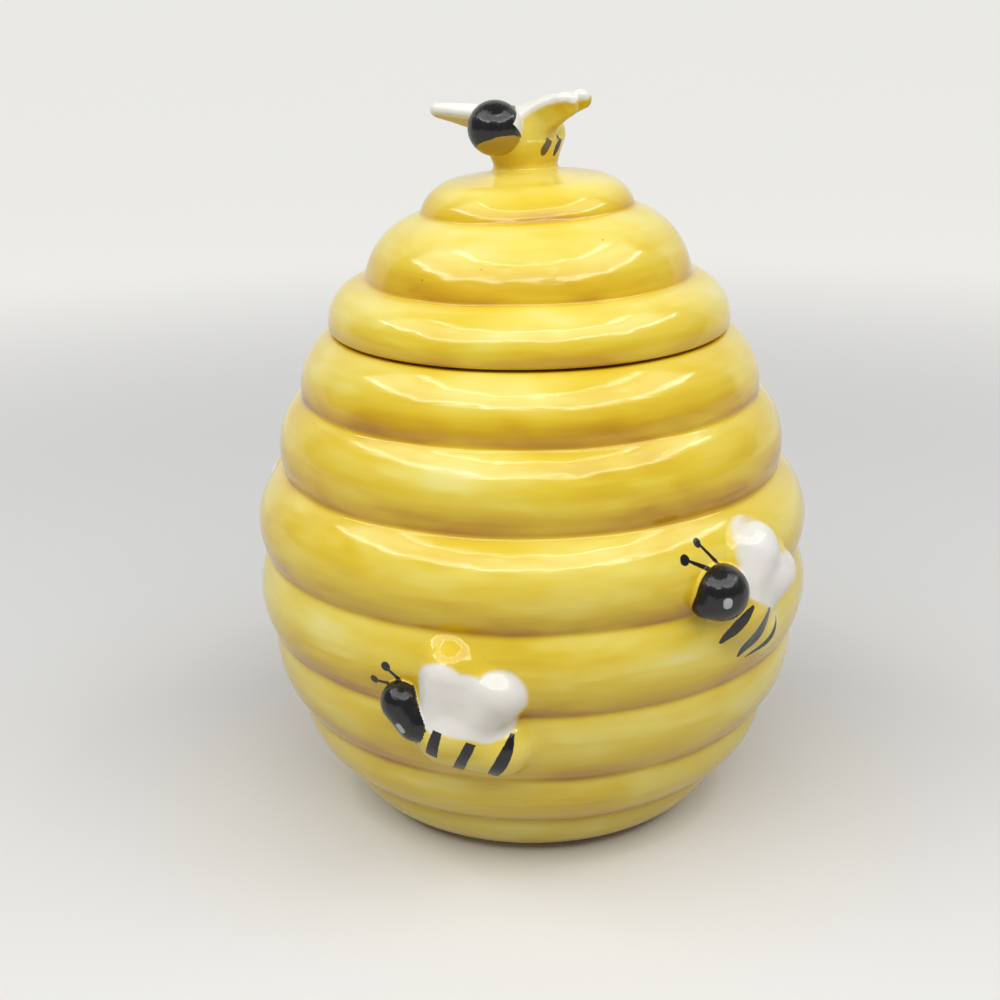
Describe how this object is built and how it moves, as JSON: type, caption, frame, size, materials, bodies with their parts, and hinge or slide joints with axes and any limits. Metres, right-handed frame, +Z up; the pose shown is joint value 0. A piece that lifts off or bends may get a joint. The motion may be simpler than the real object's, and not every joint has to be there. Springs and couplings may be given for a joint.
{
  "type": "cookie jar",
  "caption": "Round hollow ceramic cookie jar shaped like a coiled beehive, with a loose domed lid, a bee on the lid as its handle and raised bees on the wall.",
  "frame": {"origin": "on the jar's axis, in the plane of the ring that it stands on", "axes": "+Z up along the axis of the pot and the lid; -Y towards the jar's front, where the lower raised bee is; +X to the right, seen from the front"},
  "size_m": [0.2073, 0.2113, 0.2673],
  "materials": {
    "honey_glaze": "glossy hand-painted yellow glaze",
    "white_glaze": "glossy white glaze",
    "black_glaze": "glossy black glaze"
  },
  "bodies": {
    "pot": {"pot_body": "honey_glaze", "front_bee_body": "honey_glaze", "front_bee_head": "black_glaze", "front_bee_fore_wing": "white_glaze", "front_bee_hind_wing": "white_glaze", "right_bee_body": "honey_glaze", "right_bee_head": "black_glaze", "right_bee_fore_wing": "white_glaze", "right_bee_hind_wing": "white_glaze", "left_bee_body": "honey_glaze", "left_bee_head": "black_glaze", "left_bee_fore_wing": "white_glaze", "left_bee_hind_wing": "white_glaze"},
    "lid": {"lid_shell": "honey_glaze", "finial_body": "honey_glaze", "finial_head": "black_glaze", "finial_left_fore_wing": "white_glaze", "finial_left_hind_wing": "white_glaze", "finial_right_fore_wing": "white_glaze", "finial_right_hind_wing": "white_glaze"}
  },
  "joints": [
    {"name": "lid_lift", "type": "slide", "parent": "pot", "child": "lid", "axis": [0, 0, 1], "range_m": [0, 0.12]}
  ]
}
